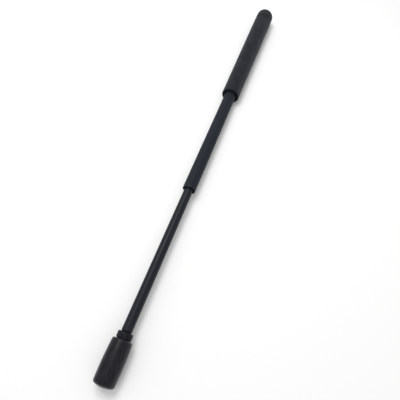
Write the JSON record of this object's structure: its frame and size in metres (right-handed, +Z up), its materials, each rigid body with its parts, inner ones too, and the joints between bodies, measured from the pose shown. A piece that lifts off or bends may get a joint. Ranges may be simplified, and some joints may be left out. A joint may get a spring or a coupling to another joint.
{
  "type": "telescopic prop stick",
  "caption": "Telescopic stick that slides shut: foam grip with a screwed end cap, two sliding steel tubes and a soft rubber tip.",
  "frame": {"origin": "bottom centre of the drawn-out stick's box as it lies on its side", "axes": "+X along the stick's axis from the pommel to the tip, +Z up, +Y across"},
  "size_m": [0.7128, 0.0324, 0.0324],
  "materials": {
    "cap_paint": "fine matte black coat",
    "tube_paint": "satin black coat with faint draw lines",
    "grip_foam": "matte closed-cell foam",
    "gasket_rubber": "smooth matte",
    "collar_rubber": "dull moulded",
    "tip_rubber": "dull moulded, lightly scuffed",
    "guide_nylon": "moulded",
    "spring_steel": "blued",
    "bright_steel": "zinc plated"
  },
  "bodies": {
    "handle": {"end_cap": "cap_paint", "cap_gasket": "gasket_rubber", "cap_oring": "gasket_rubber", "cap_bumper": "gasket_rubber", "retaining_clip": "spring_steel", "clip_screw": "bright_steel", "handle_tube": "tube_paint", "foam_grip": "grip_foam", "handle_mouth_bush": "guide_nylon"},
    "middle_glide": {"middle_glide_ring": "guide_nylon"},
    "middle_section": {"middle_tube": "tube_paint", "middle_stop_collar": "bright_steel", "middle_snap_ring": "spring_steel", "middle_mouth_bush": "guide_nylon"},
    "inner_glide": {"inner_glide_ring": "guide_nylon"},
    "inner_section": {"inner_tube": "tube_paint", "inner_stop_collar": "bright_steel", "inner_snap_ring": "spring_steel", "tip_plug": "bright_steel", "tip_stud": "bright_steel", "neck_washer": "gasket_rubber", "tip_collar": "collar_rubber", "tip_washer": "spring_steel", "tip_core": "bright_steel", "tip_body": "tip_rubber"}
  },
  "joints": [
    {"name": "middle_slide", "type": "slide", "parent": "handle", "child": "middle_glide", "axis": [-1, 0, 0], "range_m": [0, 0.19]},
    {"name": "middle_turn", "type": "hinge", "parent": "middle_glide", "child": "middle_section", "pos_m": [-0.12, 0, 0.0162], "axis": [1, 0, 0], "continuous": true},
    {"name": "inner_slide", "type": "slide", "parent": "middle_section", "child": "inner_glide", "axis": [-1, 0, 0], "range_m": [0, 0.2022]},
    {"name": "inner_turn", "type": "hinge", "parent": "inner_glide", "child": "inner_section", "pos_m": [0.08, 0, 0.0162], "axis": [1, 0, 0], "continuous": true}
  ]
}
